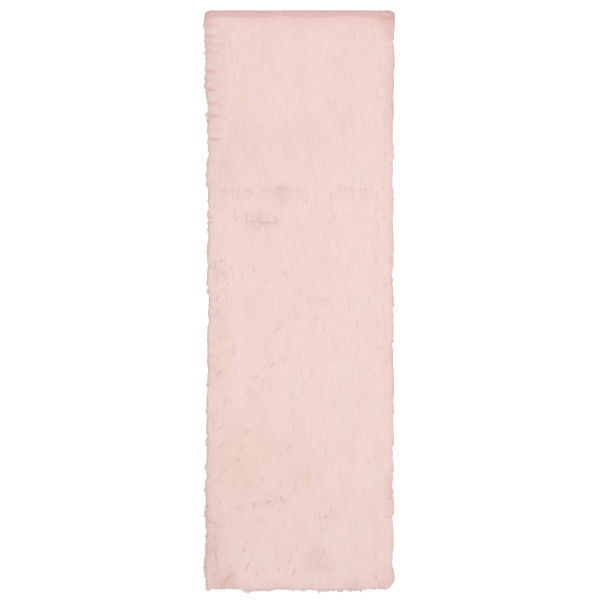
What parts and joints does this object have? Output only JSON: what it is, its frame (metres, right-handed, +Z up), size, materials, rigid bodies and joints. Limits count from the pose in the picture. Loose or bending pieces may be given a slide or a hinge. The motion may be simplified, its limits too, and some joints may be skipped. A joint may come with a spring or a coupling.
{
  "type": "faux sheepskin rug",
  "caption": "Long rectangular shag runner, its pile combed from a smooth rounded head end to a jagged foot, flat underneath.",
  "frame": {"origin": "on the floor, under the middle of the rug's footprint", "axes": "+Y along the rug from its foot to its head end, against the way the pile is combed; +X to the right as seen from above with the head end away; +Z up out of the pile"},
  "size_m": [0.6122, 1.8672, 0.0389],
  "materials": {
    "faux_fur": "pale pink long-haired acrylic faux fur, matt with a soft sheen along the combed hair"
  },
  "bodies": {
    "root": {"faux_sheepskin": "faux_fur"}
  },
  "joints": []
}
